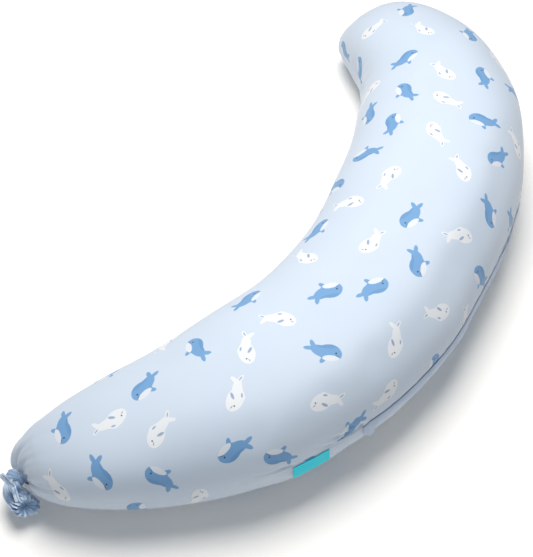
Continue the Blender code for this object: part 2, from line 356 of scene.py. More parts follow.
# Creases beside the placket and the tab, then beside the inner seam
CREASES = [
    # start station and angle, end station and angle, depth, width
    ((-19.7, 1.5), (-24.2, 24.0), 0.0034, 0.0044),
    ((-19.7, 1.0), (-25.6, 11.0), 0.0030, 0.0036),
    ((-19.5, 2.0), (-21.2, 22.0), 0.0024, 0.0040),
    ((-20.2, 0.5), (-27.0, 3.5), 0.0026, 0.0032),
    ((-22.0, 1.0), (-24.8, 20.0), 0.0012, 0.0038),
    ((-23.6, 1.5), (-28.0, 13.0), 0.0009, 0.0040),
    ((-28.6, 1.0), (-34.5, 5.5), 0.0017, 0.0034),
    ((-29.0, 1.0), (-35.0, 16.0), 0.0010, 0.0046),
    ((6.5, 1.0), (9.0, 21.0), 0.0012, 0.0038),
    ((12.6, -2.0), (7.6, 5.0), 0.0030, 0.0034),
    ((14.5, -1.0), (16.5, 9.0), 0.0016, 0.0036),
    ((11.5, 1.0), (12.5, 24.0), 0.0012, 0.0040),
    ((18.8, 1.0), (23.5, 12.0), 0.0019, 0.0036),
    ((18.8, 1.0), (22.0, 27.0), 0.0014, 0.0042),
    ((-10.5, 1.0), (-8.6, 15.0), 0.0008, 0.0036),
    ((-2.5, 1.0), (-1.0, 13.0), 0.0008, 0.0036),
    ((34.0, 178.0), (33.0, 150.0), 0.0013, 0.0060),
    ((39.0, 179.0), (40.5, 158.0), 0.0016, 0.0052),
    ((44.0, 178.5), (42.0, 146.0), 0.0019, 0.0066),
    ((47.5, 179.0), (50.0, 161.0), 0.0014, 0.0048),
    ((52.0, 178.0), (51.0, 148.0), 0.0018, 0.0060),
    ((57.0, 179.0), (60.0, 158.0), 0.0015, 0.0054),
    ((61.0, 178.5), (59.5, 150.0), 0.0013, 0.0050),
    ((-27.0, 179.0), (-25.0, 160.0), 0.0012, 0.0060),
    ((-34.0, 178.5), (-36.5, 152.0), 0.0014, 0.0064),
    ((-41.0, 179.0), (-40.0, 163.0), 0.0010, 0.0052),
    ((-6.0, 179.0), (-8.0, 160.0), 0.0009, 0.0058),
    ((17.0, 178.5), (18.5, 157.0), 0.0010, 0.0062),
]

# Gathers at the ends: each fold is this wide at the neck and widens by a share of its distance
END_FOLDS = [
    # end, folds, reach, depth
    (-1, 34, 0.150, 0.0048),
    (1, 26, 0.105, 0.0036),
]
FOLD_WIDTH = 0.0016
FOLD_WIDENING = 0.046
NECK_DRAWN_IN = 0.16


def smooth_step(values, low, high):
    t = np.clip((values - low) / (high - low), 0.0, 1.0)
    return t * t * (3 - 2 * t)


def bell(values):
    return np.exp(-(values**2))


def walked(points):
    """Distances along a line of points."""
    return running(lengths(np.diff(points, axis=0)))


def ring_angles():
    """Angles of the cover's columns, closer together beside both seams."""
    trial = np.linspace(0.0, 90.0, 721)
    distance = walked(skin(0.0, trial))
    share = np.arange(RING_COLUMNS // 4 + 1) / (RING_COLUMNS // 4)
    spread = SEAM_SPACING_SHARE * share + (1 - SEAM_SPACING_SHARE) * share**2
    quarter = np.interp(spread * distance[-1], distance, trial)
    half = np.concatenate([quarter, 180.0 - quarter[-2::-1]])
    return np.concatenate([half, 180.0 + half[1:-1]])


def row_stations():
    """Stations of the cover's rows, evenly spaced on the cloth and closer together at the details."""
    trial = np.linspace(-90.0, 90.0, 3601)
    distance = walked(skin(trial, 60.0))
    middle = (trial[1:] + trial[:-1]) / 2
    low, high = DETAIL_STATIONS_DEG
    at_detail = smooth_step(middle, low - 4, low) * (1 - smooth_step(middle, high, high + 4))
    weight = np.diff(distance) * (1 + (DETAIL_CROWDING - 1) * at_detail)
    total = running(weight)
    return np.interp(np.linspace(0.0, total[-1], STATION_ROWS), total, trial)


ANGLES = ring_angles()
STATIONS = row_stations()


def inflated(grid):
    """The grid after a short cloth simulation that blows the cover up between its held seams."""
    coarse = grid[0::2, 0::2]
    rows, columns = coarse.shape[:2]
    inner = coarse - grid_normals(coarse) * START_INSIDE * smooth_step(coarse[..., 2:], 0.0, 0.02)
    trial = made_mesh("cover_trial", inner.reshape(-1, 3), tube_faces(rows, columns))
    held = trial.vertex_groups.new(name="held")
    angles = ANGLES[0::2]
    stations = STATIONS[0::2]
    seam_shows = (stations > HIDDEN_SEAM_STATION_DEG)[:, None]
    on_outer_seam = seam_shows & (np.minimum(angles, 360 - angles) < HELD_BESIDE_SEAM_DEG)
    on_seam = on_outer_seam | (np.abs(angles - 180) < HELD_BESIDE_SEAM_DEG)
    on_neck = (np.abs(stations) > HELD_END_STATION_DEG)[:, None]
    points = np.flatnonzero(on_seam | on_neck | (coarse[..., 2] < HELD_BELOW))
    held.add([int(point) for point in points], 1.0, "REPLACE")
    cloth = trial.modifiers.new("cloth", "CLOTH")
    for setting, value in CLOTH_SETTINGS.items():
        setattr(cloth.settings, setting, value)
    cloth.settings.effector_weights.gravity = 0.0
    cloth.collision_settings.use_collision = False
    cloth.point_cache.frame_start = 1
    cloth.point_cache.frame_end = CLOTH_FRAMES
    scene = bpy.context.scene
    for step in range(1, CLOTH_FRAMES + 1):
        scene.frame_set(step)
    result = trial.evaluated_get(bpy.context.evaluated_depsgraph_get())
    moved = values_of(result.data.vertices, "co", 3).reshape(coarse.shape)
    scene.frame_set(1)
    bpy.data.objects.remove(trial, do_unlink=True)
    move = moved - coarse
    length = np.linalg.norm(move, axis=-1, keepdims=True)
    move = move * np.minimum(1.0, MOST_MOVE / np.maximum(length, 1e-9))
    for _ in range(SMOOTHING_STEPS):
        beside = (np.roll(move, 1, axis=1) + np.roll(move, -1, axis=1)) / 2
        ahead = np.concatenate([move[:1], (move[2:] + move[:-2]) / 2, move[-1:]])
        move = move * 0.4 + beside * 0.3 + ahead * 0.3
    return grid + finer(move)


def random_waves(grid, rng, count, shortest, longest):
    """Sum at each point of waves of random direction and length."""
    height = np.zeros(grid.shape[:2])
    for _ in range(count):
        direction = unit(rng.normal(size=3))
        length = rng.uniform(shortest, longest)
        height += np.sin((grid @ direction) * 2 * math.pi / length + rng.uniform(0, 6.28))
    return height


def seam_creases(grid):
    """How far the cover is drawn in at each point by the two long seams."""
    ends = 1.0 - np.abs(np.sin(np.radians(STATIONS))) ** 10
    after_start = smooth_step(STATIONS, PLACKET_STATIONS_DEG[0] - 9, PLACKET_STATIONS_DEG[0])
    along_placket = after_start * (1 - smooth_step(STATIONS, *ROLL_STATIONS_DEG))
    outer_depth = (SEAM_DEPTH + (PLACKET_SEAM_DEPTH - SEAM_DEPTH) * along_placket) * ends
    outer_depth *= smooth_step(STATIONS, HIDDEN_SEAM_STATION_DEG - 2, HIDDEN_SEAM_STATION_DEG + 1)
    height = np.zeros(grid.shape[:2])
    for depth, col in ((outer_depth, 0), (SEAM_DEPTH * ends, RING_COLUMNS // 2)):
        away = lengths(grid - grid[:, col:col + 1])
        height -= depth[:, None] * np.exp(-((away / SEAM_HALF_WIDTH) ** 1.3))
    return height


def seam_puckers(grid, rng):
    """Short soft puckers that the sewing thread draws into the cloth beside both seams."""
    height = np.zeros(grid.shape[:2])
    for col, reach in PUCKERED_SEAMS:
        line = grid[:, col]
        distance = walked(line)
        away = lengths(grid - line[:, None])
        fade = np.exp(-away / reach * 2) * smooth_step(away, 0.0, 0.004)
        wave = np.zeros_like(distance)
        for _ in range(6):
            length = rng.uniform(0.013, 0.043)
            wave += rng.uniform(0.4, 1.0) * np.sin(distance * 2 * math.pi / length + rng.uniform(0, 6))
        height += PUCKER_HEIGHT * wave[:, None] * fade
    return height


def crease(grid, start, end, depth, width):
    """One soft trough from a station and an angle to another, deepest at its start."""
    a = skin(*start) + SHIFT
    b = skin(*end) + SHIFT
    line = b - a
    share = np.clip(((grid - a) @ line) / (line @ line), 0.0, 1.0)
    off = lengths(grid - (a + share[..., None] * line))
    taper = (1.0 - smooth_step(share, 0.25, 1.0)) * smooth_step(share, -0.25, 0.12)
    trough = bell(off / width)
    shoulder = 0.45 * bell((off - 1.9 * width) / width)
    return depth * taper * (shoulder - trough)


def end_gathers(grid, rng):
    """Folds that run out from each neck over the blunt end, each of its own length and depth."""
    height = np.zeros(grid.shape[:2])
    for sign, folds, reach, depth in END_FOLDS:
        end = skin(90.0 * sign, np.array([0.0, 90.0, 180.0, 270.0])).mean(0) + SHIFT
        away = lengths(grid - end)
        near = away < 0.3
        side = (STATIONS * sign > 0)[:, None]
        for fold in range(folds):
            angle = 360.0 * (fold + rng.uniform(-0.32, 0.32)) / folds
            bend = rng.uniform(-14, 14)
            long = reach * rng.uniform(0.35, 1.25)
            deep = depth * rng.uniform(0.35, 1.0)
            here = angle + bend * away / reach
            off_deg = (ANGLES[None, :] - here + 180) % 360 - 180
            off = np.radians(off_deg) * column(2, STATIONS)[:, None]
            width = FOLD_WIDTH + FOLD_WIDENING * away
            fade = (1 - smooth_step(away, 0.15 * long, long)) * np.exp(-away / (0.62 * long))
            shoulder = bell((np.abs(off) - 1.8 * width) / width)
            trough = bell(off / width) - 0.5 * shoulder
            height -= np.where(near & side, deep * fade * trough, 0.0)
        lumps = random_waves(grid, rng, *END_LUMPS)
        height += END_LUMP_HEIGHT * lumps * bell(away / END_LUMP_REACH) * side
    return height


def neck_rings(which):
    """Rings of the bunched cloth of one neck."""
    turn = np.radians(ANGLES)
    bunched = 1 + 0.07 * np.cos(15 * turn + 1.7 * np.sin(2 * turn)) + 0.03 * np.cos(27 * turn)
    rings = []
    for spot, side, up, _ in neck_frames(which):
        drawn_in = 1 - NECK_DRAWN_IN * smooth_step(len(rings) / NECK_ROWS, 0.0, 0.5)
        radius = (NECK_RADIUS * bunched * drawn_in)[:, None]
        rings.append(spot + SHIFT + radius * (np.cos(turn)[:, None] * side + np.sin(turn)[:, None] * up))
    return np.array(rings)


def cover():
    """The printed cover as one closed mesh, and its grid."""
    rng = np.random.default_rng(11)
    smooth = skin(STATIONS[:, None], ANGLES[None, :]) + SHIFT
    grid = inflated(smooth)
    height = SWELL_HEIGHT * random_waves(smooth, rng, *SWELLS) * smooth_step(smooth[..., 2], 0.0, 0.05)
    height += seam_creases(smooth)
    height += seam_puckers(smooth, rng)
    height += end_gathers(smooth, rng)
    for start, end, depth, width in CREASES:
        height += crease(smooth, start, end, depth, width)
    fixed = smooth_step(np.abs(STATIONS), 89.0, 90.0)[:, None]
    grid = grid + grid_normals(grid) * (height * (1 - fixed))[..., None]
    flat = smooth[..., 2] < 0.0003
    grid[..., 2] = np.where(flat, 0.0, np.maximum(grid[..., 2], 0.0))
    whole = np.concatenate([neck_rings("near")[::-1], grid, neck_rings("far")])
    return joined("pillow_cover", [whole]), whole


def on_cover(grid, stations, distances):
    """Points of the finished cover, and its outward directions, at distances below the outer seam."""
    body = grid[NECK_ROWS:-NECK_ROWS]
    below = -np.arange(SHEET_REACH_COLUMNS)
    both = np.concatenate([body, grid_normals(body)], axis=-1)[:, below]
    found = np.empty(distances.shape + (6,))
    for number, station in enumerate(stations):
        place = np.interp(station, STATIONS, np.arange(STATION_ROWS))
        row = min(int(place), STATION_ROWS - 2)
        share = place - row
        line = both[row] * (1 - share) + both[row + 1] * share
        distance = walked(line[:, :3])
        for axis in range(6):
            found[number, :, axis] = np.interp(distances[number], distance, line[:, axis])
    return found[..., :3], unit(found[..., 3:])


# Print: generic whales of two kinds, scattered with even gaps over both panels

MOTIF_HALF_LENGTH = 0.0345
MOTIF_REACH = 1.6 * MOTIF_HALF_LENGTH
MOTIF_GAP = 0.083
NEIGHBOUR_GAP = 1.7 * MOTIF_GAP
MOTIF_TRIES = 9000
BARE_END_ROWS = 6
NO_MOTIF = 9.0


def motif_places(grid, rng):
    """Centres, frames and kinds of the motifs, scattered so that none crowds another."""
    rows = np.arange(NECK_ROWS + BARE_END_ROWS, grid.shape[0] - NECK_ROWS - BARE_END_ROWS)
    crosses = grid_crosses(grid)
    areas = lengths(crosses)[rows]
    chance = areas.ravel() / areas.sum()
    picks = rng.choice(areas.size, size=MOTIF_TRIES, p=chance)
    found = []
    for pick in picks:
        row, col = rows[pick // RING_COLUMNS], pick % RING_COLUMNS
        point = grid[row, col]
        if all(np.linalg.norm(point - other[0]) > MOTIF_GAP for other in found):
            normal = unit(crosses[row, col])
            along = unit(np.cross(normal, unit(rng.normal(size=3))))
            near = [other for other in found if np.linalg.norm(point - other[0]) < NEIGHBOUR_GAP]
            blues = sum(other[4] == 0 for other in near)
            kind = 1 if blues * 2 > len(near) else 0
            flip = 1.0 if rng.random() < 0.5 else -1.0
            found.append((point, along, np.cross(normal, along) * flip, panel_of(row, col), kind))
    return found


def panel_of(row, col):
    """Panel of a grid place: 0 above and 1 below, or 2 where the outer seam doesn't cut the print."""
    upper = col < RING_COLUMNS // 2
    quarter = RING_COLUMNS // 4
    outer_side = (col < quarter) | (col >= 3 * quarter)
    hidden_row = NECK_ROWS + np.searchsorted(STATIONS, HIDDEN_SEAM_STATION_DEG)
    return np.where(outer_side & (row < hidden_row), 2, np.where(upper, 0, 1))


def print_coordinates(made, grid):
    """Stores each face's place within its own motif, and the motif's kind, for the shader."""
    places = motif_places(grid, np.random.default_rng(29))
    mesh = made.data
    centres = values_of(mesh.polygons, "center", 3)
    face = np.arange(len(centres))
    panel = panel_of(face // RING_COLUMNS, face % RING_COLUMNS)
    body = (face // RING_COLUMNS > NECK_ROWS) & (face // RING_COLUMNS < len(grid) - NECK_ROWS - 2)
    nearest = np.full(len(centres), np.inf)
    owner = np.full(len(centres), -1)
    for number, place in enumerate(places):
        away = lengths(centres - place[0])
        same = (panel == place[3]) | (panel + place[3] == 2)
        closer = (away < nearest) & (away < MOTIF_REACH) & same & body
        nearest = np.where(closer, away, nearest)
        owner = np.where(closer, number, owner)
    corner_owner = np.repeat(owner, values_of(mesh.polygons, "loop_total", 1, int))
    corners = values_of(mesh.vertices, "co", 3)[values_of(mesh.loops, "vertex_index", 1, int)]
    local = np.full((len(corners), 2), NO_MOTIF)
    kinds = np.zeros(len(centres))
    for number, place in enumerate(places):
        mine = corner_owner == number
        offset = (corners[mine] - place[0]) / MOTIF_HALF_LENGTH
        local[mine] = np.stack([offset @ place[1], offset @ place[2]], -1)
        kinds[owner == number] = place[4]
    mesh.uv_layers.new(name="motif").data.foreach_set("uv", local.ravel())
    mesh.attributes.new("motif_kind", "FLOAT", "FACE").data.foreach_set("value", kinds)


def cloth_coordinates(made, grid):
    """Unrolled cloth coordinates in metres, along the pillow and round it, for the knit."""
    along = running(lengths(np.diff(grid, axis=0)).mean(1))
    around = running(lengths(np.roll(grid, -1, axis=1) - grid))
    rows, columns = grid.shape[:2]
    row, col = (index.ravel() for index in np.indices((rows - 1, columns)))
    corners = [(row, col), (row + 1, col), (row + 1, col + 1), (row, col + 1)]
    quads = np.stack([np.stack([along[r], around[r, c]], -1) for r, c in corners], 1)
    uv = np.zeros((len(made.data.loops), 2))
    uv[:len(quads) * 4] = quads.reshape(-1, 2)
    made.data.uv_layers.new(name="cloth").data.foreach_set("uv", uv.ravel())


# Placket and tab

PLACKET_WIDTH = 0.021
PLACKET_TOP = 0.0010
ROLLED_UNDER = 0.013
PLACKET_ROWS = 300
PLACKET_COLUMNS = 16
TURNED_CORNER = 0.0100
TURNED_CORNER_PEAK = 0.013
TURNED_CORNER_SPREAD = 0.010
TAB_ROWS = 70
TAB_COLUMNS = 22
TAB_WIDTH = 0.0265
TAB_TOP = 0.0045
SHEET_THICKNESS = 0.0011
TAB_STAND_OFF = 0.0034
CLEARANCE = 0.0004
SHEET_REACH_COLUMNS = 40


def laid_sheet(name, grid, stations, distances, heights):
    """A thin closed sheet laid along the cover below the outer seam, at heights above it."""
    points, outward = on_cover(grid, stations, distances)
    low = points + outward * (heights + CLEARANCE)[..., None]
    high = low + outward * SHEET_THICKNESS
    rings = np.concatenate([high, low[:, ::-1]], axis=1)
    return turned_outward(joined(name, [rings])), rings


def placket(grid):
    """The plain strip over the zip: its near corner is turned out and its far end rolls under."""
    stations = np.linspace(*PLACKET_STATIONS_DEG, PLACKET_ROWS)
    down = np.linspace(0.0, 1.0, PLACKET_COLUMNS)
    along = walked(skin(stations, 0.0))
    pucker = 0.0005 * np.sin(along * 190 + 1.3 * np.sin(along * 31)) + 0.0004 * np.sin(along * 83)
    corner = TURNED_CORNER * bell((along - TURNED_CORNER_PEAK) / TURNED_CORNER_SPREAD)
    heights = 0.0005 + (pucker[:, None] + 0.0010) * np.sin(math.pi * down)
    heights += corner[:, None] * smooth_step(down, 0.0, 1.0)
    rolled = ROLLED_UNDER * smooth_step(stations, *ROLL_STATIONS_DEG)
    distances = PLACKET_TOP + rolled[:, None] + down * PLACKET_WIDTH
    return laid_sheet("zip_placket_cloth", grid, stations, distances, heights)


def tab(grid):
    """The folded teal tape: held at the seam, and a little off the cover at its lower fold."""
    stations = np.linspace(*TAB_STATIONS_DEG, TAB_ROWS)
    down = np.linspace(0.0, 1.0, TAB_COLUMNS)[None, :]
    along = np.linspace(-1.0, 1.0, TAB_ROWS)[:, None]
    heights = TAB_STAND_OFF * down**1.5 + 0.0007 * along**2 * down + 0.0003 * np.sin(along * 7.0) * down
    distances = np.tile(TAB_TOP + down * TAB_WIDTH, (TAB_ROWS, 1))
    return laid_sheet("seam_tab_tape", grid, stations, distances, heights)


# Ties

BAND_TURNS = [
    # row of the neck, radius, thick, tilt
    (2, 0.0156, 0.0030, 0.0),
    (6, 0.0150, 0.0031, 0.9),
    (9, 0.0140, 0.0027, 2.0),
]

# The tail opens like a rosette: share of its length, and shares of its half width and thickness
TAIL_OUTLINE = np.array([
    # along, width, thickness
    (0.00, 0.44, 0.92),
    (0.14, 0.54, 1.00),
    (0.34, 0.68, 1.10),
    (0.56, 0.82, 1.28),
    (0.76, 0.88, 1.44),
    (0.90, 0.86, 1.44),
    (1.00, 0.73, 1.20),
])
TAIL_HALF_THICK = 0.0135
TAIL_TURN_SHARE = 0.40
TAIL_LONGER = 1.14
TAIL_CLOTH = 0.0014
TAIL_CAVITY_SHARE = 0.80
RIM_FLATTER = 0.52
TAIL_TURN = 2 * math.pi * np.arange(360) / 360
TAIL_STEPS = 60
TAIL_START_ROW = 9
TAILS = {
    # tie: length, half_width, way and droop, the mouth's way and droop, roll_deg
    "near": (0.058, 0.0305, (254, 36), (250, -34), 30),
    "far": (0.030, 0.022, (24, 34), (24, 34), 0),
}

# Pleats of the near tail, by their angle round it: 0 is its left edge and 90 its top in the photo
NEAR_PLEATS = [
    # angle_deg, half_width_deg, depth
    (2, 6.0, 0.45),
    (17, 5.0, 0.62),
    (32, 5.0, 0.55),
    (46, 5.0, 0.66),
    (60, 4.5, 0.52),
    (76, 5.0, 0.34),
    (100, 5.5, 0.58),
    (113, 4.5, 0.50),
    (124, 4.0, 0.34),
    (150, 5.0, 0.22),
    (170, 8.0, 0.44),
    (188, 5.0, 0.34),
    (207, 9.0, 0.64),
    (229, 5.0, 0.40),
    (241, 5.5, 0.55),
    (263, 9.0, 0.68),
    (283, 5.0, 0.36),
    (297, 6.5, 0.56),
    (319, 8.0, 0.62),
    (341, 5.0, 0.40),
]
FAR_PLEATS = [(angle, 7.0, 0.42 + 0.1 * (angle % 2)) for angle in range(5, 360, 27)]


def band_turns(neck):
    """Turns of folded cloth wound round the neck, slightly tilted against each other."""
    turn = np.linspace(0.0, 2 * math.pi, 121)[:, None, None]
    around = (2 * math.pi * np.arange(20) / 20)[:, None]
    bulge = 1 + 0.10 * np.sin(3 * around + 2 * turn) + 0.05 * np.sin(11 * turn + 2 * around)
    grids = []
    for row, radius, thick, tilt in BAND_TURNS:
        spot, side, up, direction = neck[row - 1]
        out = radius + 0.0004 * np.sin(5 * turn + tilt) + 0.86 * thick * bulge * np.cos(around)
        lean = 0.0010 * np.sin(turn + 2.1 * tilt) + thick * bulge * np.sin(around)
        grids.append(spot + SHIFT + (np.cos(turn) * side + np.sin(turn) * up) * out + direction * lean)
    return grids


def tail_path(which, spot, neck_direction):
    """Centres and directions along the tail: it turns down from the neck, and its mouth turns up."""
    length, _, way, mouth_way, _ = TAILS[which]
    share = np.linspace(0.0, 1.0, TAIL_STEPS + 1)[:, None]
    turned = np.minimum(1.0, share / TAIL_TURN_SHARE)
    lifted = smooth_step(share, 0.40, 0.95)
    finish = compass(*way) * (1 - lifted) + compass(*mouth_way) * lifted
    directions = unit(neck_direction * (1 - turned) + finish * turned)
    return spot + np.cumsum(directions, axis=0) * (length * TAIL_LONGER / TAIL_STEPS), directions


def pleats_at(pleats, share):
    """Depths of the valleys and heights of the crests beside them, round the tail at a share of it."""
    valley = np.zeros_like(TAIL_TURN)
    crest = np.zeros_like(TAIL_TURN)
    for angle, half, deep in pleats:
        lean = math.radians(angle) + 0.16 * (share - 0.4) * math.sin(3 * angle)
        off = np.abs(np.angle(np.exp(1j * (TAIL_TURN - lean)))) / math.radians(half)
        valley = np.maximum(valley, deep * np.exp(-(off**1.2)))
        crest = np.maximum(crest, deep * bell(off - 2.0))
    return valley, crest


def tail_ring(which, path, pleats, share, depth, scale=1.0, inset=0.0):
    """One ring of the tail: an oval with valleys of some depth, scaled and set in towards its middle."""
    _, half_width, _, _, roll_deg = TAILS[which]
    step = round(share * TAIL_STEPS)
    here, direction = path[0][step], path[1][step]
    level = unit(np.cross(direction, np.array([0.0, 0.0, 1.0])))
    upright = np.cross(level, direction)
    roll = math.radians(roll_deg) * smooth_step(share, 0.1, 0.7)
    side = level * math.cos(roll) + upright * math.sin(roll)
    up = upright * math.cos(roll) - level * math.sin(roll)
    width = np.interp(share, TAIL_OUTLINE[:, 0], TAIL_OUTLINE[:, 1]) * half_width
    thick = np.interp(share, TAIL_OUTLINE[:, 0], TAIL_OUTLINE[:, 2]) * TAIL_HALF_THICK
    valley, crest = pleats_at(pleats, share)
    shape = 1 + 0.12 * crest - valley * depth
    across = (width * scale - inset) * np.cos(TAIL_TURN) * shape
    rise = (thick * scale - inset) * np.sin(TAIL_TURN) * shape
    ring = here + across[:, None] * side + rise[:, None] * up
    ruffle = 0.0040 * (crest - valley) + 0.0024 * np.sin(2 * TAIL_TURN + 1.0)
    return ring + (ruffle * smooth_step(share, 0.50, 1.0))[:, None] * direction


def tail_grid(which, spot, neck_direction, pleats):
    """The gathered tail with the folded cloth inside its mouth, and each point's painted shading: light on
    the crests, dark in the valleys and darker inside the mouth.
    """
    path = tail_path(which, spot, neck_direction)
    rings = []
    painted_tones = []
    for step in range(TAIL_STEPS + 1):
        share = step / TAIL_STEPS
        depth = 0.55 + 0.45 * smooth_step(share, 0.0, 0.25) - RIM_FLATTER * smooth_step(share, 0.60, 0.95)
        rings.append(tail_ring(which, path, pleats, share, depth))
        valley, crest = pleats_at(pleats, share)
        # Painted light on the pleats' crests and painted shade in their valleys
        painted_tones.append(0.5 + 0.8 * crest - 1.1 * valley)
    for step in range(TAIL_STEPS, round(TAIL_STEPS * TAIL_CAVITY_SHARE), -1):
        share = step / TAIL_STEPS
        inward = (1.0 - share) / (1.0 - TAIL_CAVITY_SHARE)
        depth = 1.0 - RIM_FLATTER * (1.0 - inward)
        inset = TAIL_CLOTH * (1.0 - inward)
        rings.append(tail_ring(which, path, pleats, share, depth, 1.0 - 0.85 * inward, inset))
        # Painted shade, deeper inside the mouth
        painted_tones.append(painted_tones[step] - 0.35 * inward)
    return np.array(rings), np.clip(np.array(painted_tones), 0.0, 1.0)


# The tie's free end: where its foot, bend and tip are from the neck's end, and the way that it faces
STRIP_FOOT = (-0.029194, -0.031024, 0.003061)
STRIP_BEND = (-0.014254, -0.012245, 0.018370)
STRIP_TIP = (-0.018366, 0.004613, 0.049912)
STRIP_FACING = (-0.54, -0.29, 0.79)
BAND_TONE = 0.55
STRIP_PROFILE = np.array([
    # shares of the half width and half thickness, and painted shading, light on the top faces, darker
    # underneath and darkest in the grooves: a strip folded in three
    (-1.00, 0.55, 0.7), (-0.80, 1.00, 1.0), (0.05, 1.05, 1.0), (0.22, 0.95, 0.5), (0.30, 0.10, 0.0),
    (0.40, 0.90, 0.6), (0.70, 0.95, 1.0), (1.00, 0.45, 0.7), (1.00, -0.45, 0.5), (0.60, -1.00, 0.5),
    (-0.50, -1.00, 0.5), (-1.05, -0.85, 0.5), (-1.05, -0.40, 0.3), (-0.60, -0.10, 0.0), (-1.02, 0.15, 0.4),
])
STRIP_HALF_WIDTH = 0.0048
STRIP_HALF_THICK = 0.0022


def curve_through(stops, count):
    """Points on a smooth curve through a few stops."""
    padded = with_ends(np.array(stops))
    places = np.linspace(0, len(stops) - 1 - 1e-9, count)
    return np.array([smooth_between(*padded[int(place):int(place) + 4], place % 1) for place in places])


def strip_grid(spot):
    """The tie's free end: cloth folded lengthwise into a narrow strip that stands up from the band."""
    facing = unit(np.array(STRIP_FACING))
    foot, bend, tip = np.array([STRIP_FOOT, STRIP_BEND, STRIP_TIP]) + spot
    before = bend * 0.75 + foot * 0.25 + facing * 0.001
    after = bend * 0.75 + tip * 0.25 + facing * 0.001
    path = curve_through([foot, before, bend, after, tip], 60)
    direction = unit(np.gradient(path, axis=0))
    side = unit(np.cross(direction, facing))
    thick_way = np.cross(side, direction)
    across_strip = STRIP_PROFILE[:, :1] * STRIP_HALF_WIDTH
    through_strip = STRIP_PROFILE[:, 1:2] * STRIP_HALF_THICK
    return np.array([
        stop + across_strip * wide + through_strip * deep for stop, wide, deep in zip(path, side, thick_way)
    ])


def tie(name, which, pleats):
    """One knot: wound band, gathered tail and, on the near one, the strip."""
    neck = neck_frames(which)
    grids = band_turns(neck)
    # Painted shading of each part: even on the band, and on the tail and strip light on crests and dark in
    # valleys, folds and the mouth
    painted_tones = [np.full(grid.shape[:2], BAND_TONE) for grid in grids]
    start, _, _, direction = neck[TAIL_START_ROW - 1]
    tail, tail_painted_tones = tail_grid(which, start + SHIFT, direction, pleats)
    grids.append(tail)
    painted_tones.append(tail_painted_tones)
    if which == "near":
        strip = strip_grid(neck[-1][0] + SHIFT)
        grids.append(strip)
        painted_tones.append(np.tile(STRIP_PROFILE[:, 2], (len(strip), 1)))
    made = turned_outward(joined(name, grids))
    # Each point's painted shading, kept as an attribute for the shader
    shades = []
    for tone in painted_tones:
        shades += [tone.ravel(), [tone[0].mean(), tone[-1].mean()]]
    made.data.attributes.new("painted_fold_shade", "FLOAT", "POINT").data.foreach_set("value", np.concatenate(shades))
    return made


# Materials

class Nodes:
    """Short calls for building a material's nodes. A value is a number, a vector, a colour or a socket."""

    def __init__(self, name):
        self.material = bpy.data.materials.new(name)
        self.material.use_nodes = True
        self.tree = self.material.node_tree
        self.shader = self.tree.nodes["Principled BSDF"]

    def fill(self, node, inputs):
        for name, value in inputs.items():
            if isinstance(value, bpy.types.NodeSocket):
                self.tree.links.new(value, node.inputs[name])
            elif value is not None:
                node.inputs[name].default_value = value

    def add(self, kind, inputs, **settings):
        node = self.tree.nodes.new(kind)
        for name, value in settings.items():
            setattr(node, name, value)
        self.fill(node, inputs)
        return node.outputs

    def maths(self, operation, a, b=None, c=None):
        return self.add("ShaderNodeMath", {0: a, 1: b, 2: c}, operation=operation)[0]

    def mix(self, share, a, b):
        return self.add("ShaderNodeMix", {0: share, 6: a, 7: b}, data_type="RGBA")[2]

    def uv(self, name):
        return self.add("ShaderNodeUVMap", {}, uv_map=name)[0]

    def attribute(self, name):
        return self.add("ShaderNodeAttribute", {}, attribute_name=name)["Fac"]

    def object_place(self):
        return self.add("ShaderNodeTexCoord", {})["Object"]

    def noise(self, vector, scale, detail=2.0, roughness=0.5):
        inputs = {"Vector": vector, "Scale": scale, "Detail": detail, "Roughness": roughness}
        return self.add("ShaderNodeTexNoise", inputs)["Fac"]

    def wave(self, vector, scale, direction, distortion):
        inputs = {"Vector": vector, "Scale": scale, "Distortion": distortion}
        return self.add("ShaderNodeTexWave", inputs, bands_direction=direction)["Fac"]

    def mask(self, value, low=-0.012, high=0.012):
        """0 up to the low value, 1 from the high one, and even between them."""
        return self.add("ShaderNodeMapRange", {"Value": value, "From Min": low, "From Max": high})[0]

    def ellipse(self, place, x, y, long, tall, turn_deg):
        """Rough distance inside an ellipse: positive inside, negative outside."""
        turn = (0, 0, math.radians(turn_deg))
        inputs = {"Vector": place, "Location": (x, y, 0), "Rotation": turn, "Scale": (long, tall, 1)}
        moved = self.add("ShaderNodeMapping", inputs, vector_type="TEXTURE")[0]
        length = self.add("ShaderNodeVectorMath", {0: moved}, operation="LENGTH")["Value"]
        return self.maths("MULTIPLY", self.maths("SUBTRACT", 1.0, length), min(long, tall))

    def all_of(self, shapes, blend):
        """Union of shapes, melted together over a distance."""
        whole = shapes[0]
        for shape in shapes[1:]:
            whole = self.maths("SMOOTH_MAX", whole, shape, blend)
        return whole

    def finish(self, colour, roughness, height, bump, sheen, sheen_roughness):
        relief = self.add("ShaderNodeBump", {"Strength": bump, "Distance": BUMP_DEPTH, "Height": height})[0]
        self.fill(self.shader, {
            "Base Color": colour,
            "Roughness": roughness,
            "Specular IOR Level": 0.25,
            "Sheen Weight": sheen,
            "Sheen Roughness": sheen_roughness,
            "Normal": relief,
        })
        return self.material


